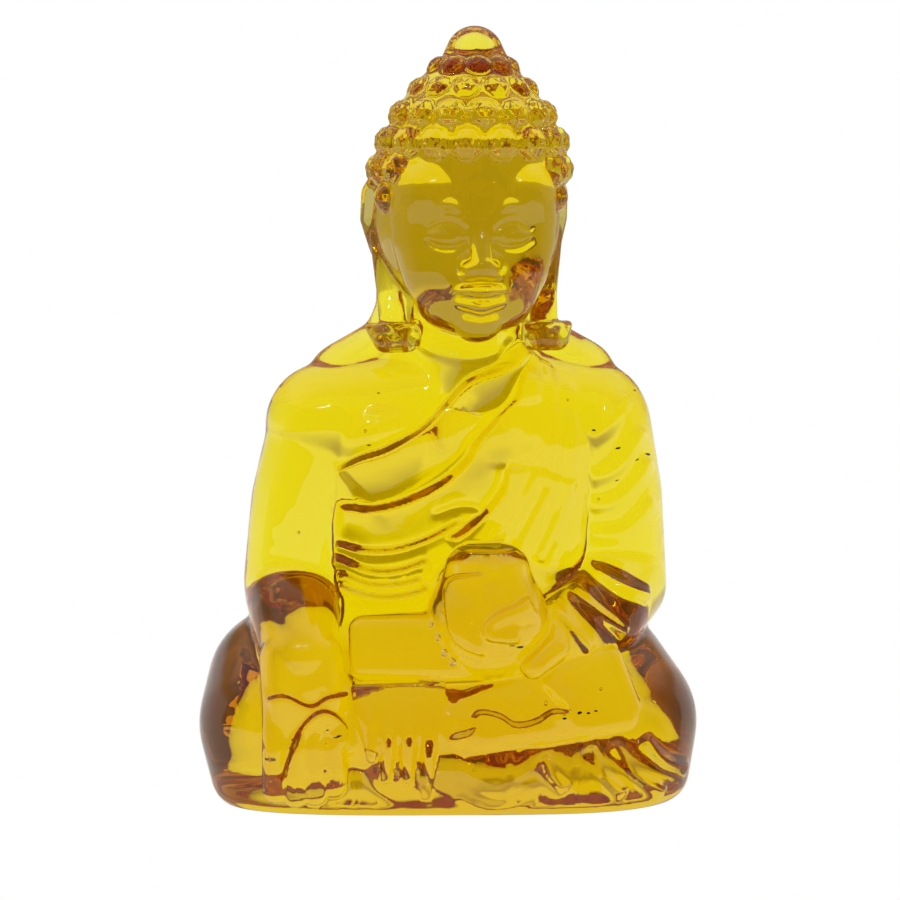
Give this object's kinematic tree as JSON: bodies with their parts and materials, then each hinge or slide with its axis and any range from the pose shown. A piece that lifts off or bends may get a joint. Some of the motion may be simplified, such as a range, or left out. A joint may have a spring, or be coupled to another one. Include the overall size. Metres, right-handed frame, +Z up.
{
  "type": "seated buddha statue",
  "caption": "Small seated Buddha statue cast in one piece of clear amber glass, with a flat underside, for a shelf or altar.",
  "frame": {"origin": "on the flat underside, midway between the knees", "axes": "+Z up through the head, -Y the way the figure faces, -X the figure's right side"},
  "size_m": [0.0792, 0.0432, 0.12],
  "materials": {
    "amber_glass": "clear amber cast glass, fire-polished smooth"
  },
  "bodies": {
    "root": {"statue": "amber_glass"}
  },
  "joints": []
}
